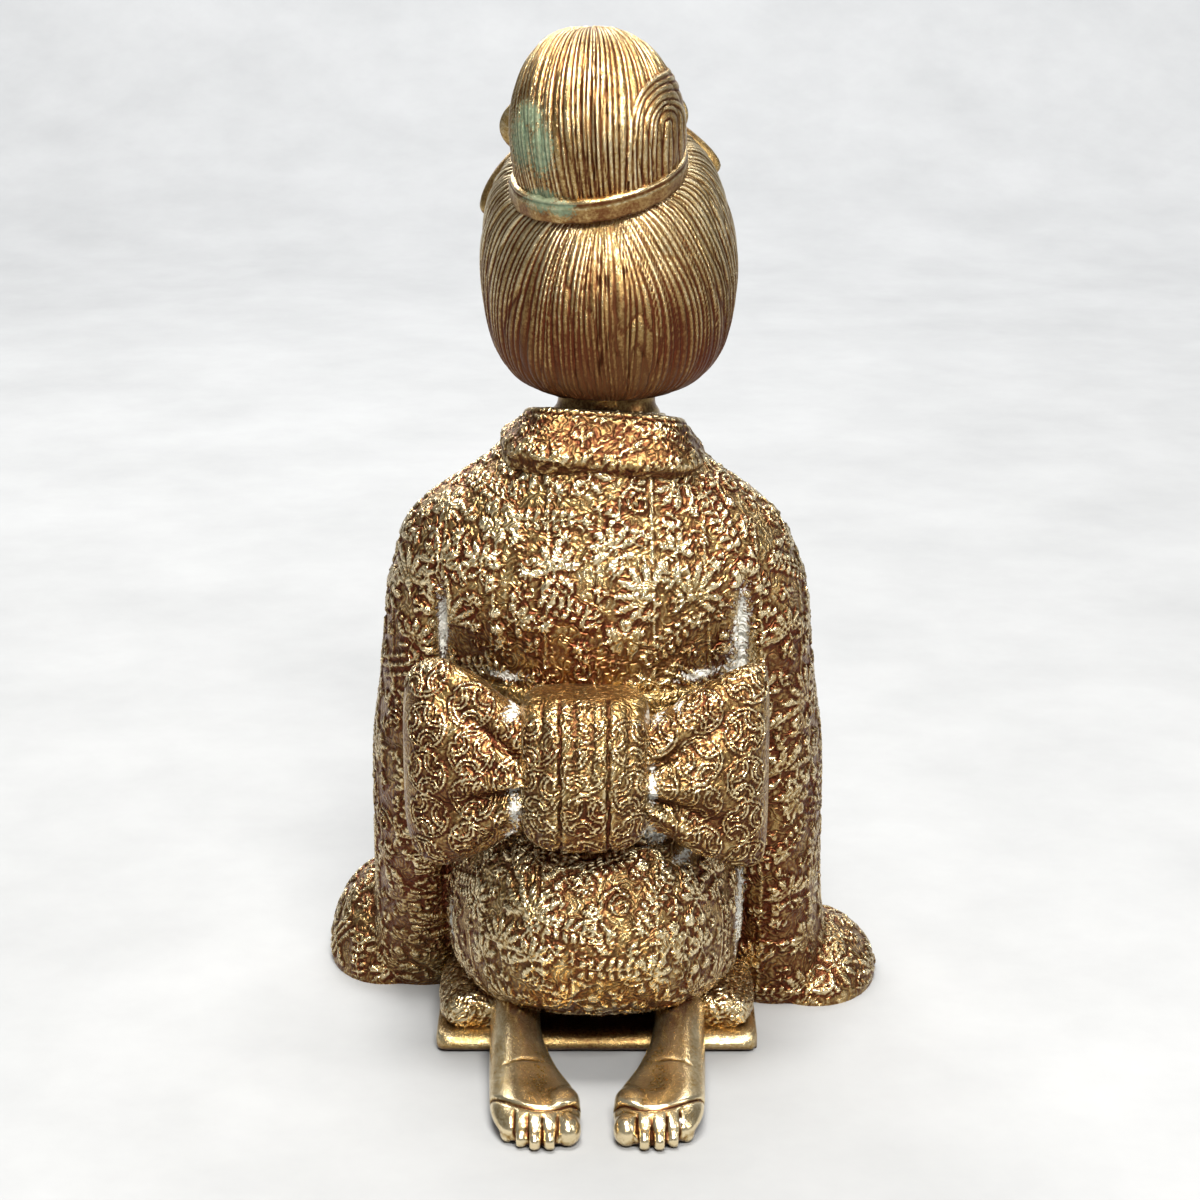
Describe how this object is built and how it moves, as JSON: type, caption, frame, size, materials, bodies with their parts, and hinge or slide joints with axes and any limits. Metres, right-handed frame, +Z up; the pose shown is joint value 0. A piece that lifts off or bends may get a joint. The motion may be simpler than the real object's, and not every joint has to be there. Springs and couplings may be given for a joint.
{
  "type": "bronze geisha statue",
  "caption": "Hollow cast bronze figure of a geisha kneeling with the feet tucked under, standing on its flat underside.",
  "frame": {"origin": "on the floor, at the middle of the underside's bounding box", "axes": "+Z up, the figure faces -Y with its feet towards +Y, its own left is +X"},
  "size_m": [0.218, 0.2396, 0.3795],
  "materials": {
    "bronze": "patinated cast bronze, olive gold on the ridges, red brown in the hollows, pale green and white deposits in the creases"
  },
  "bodies": {
    "root": {"geisha_figure": "bronze"}
  },
  "joints": []
}
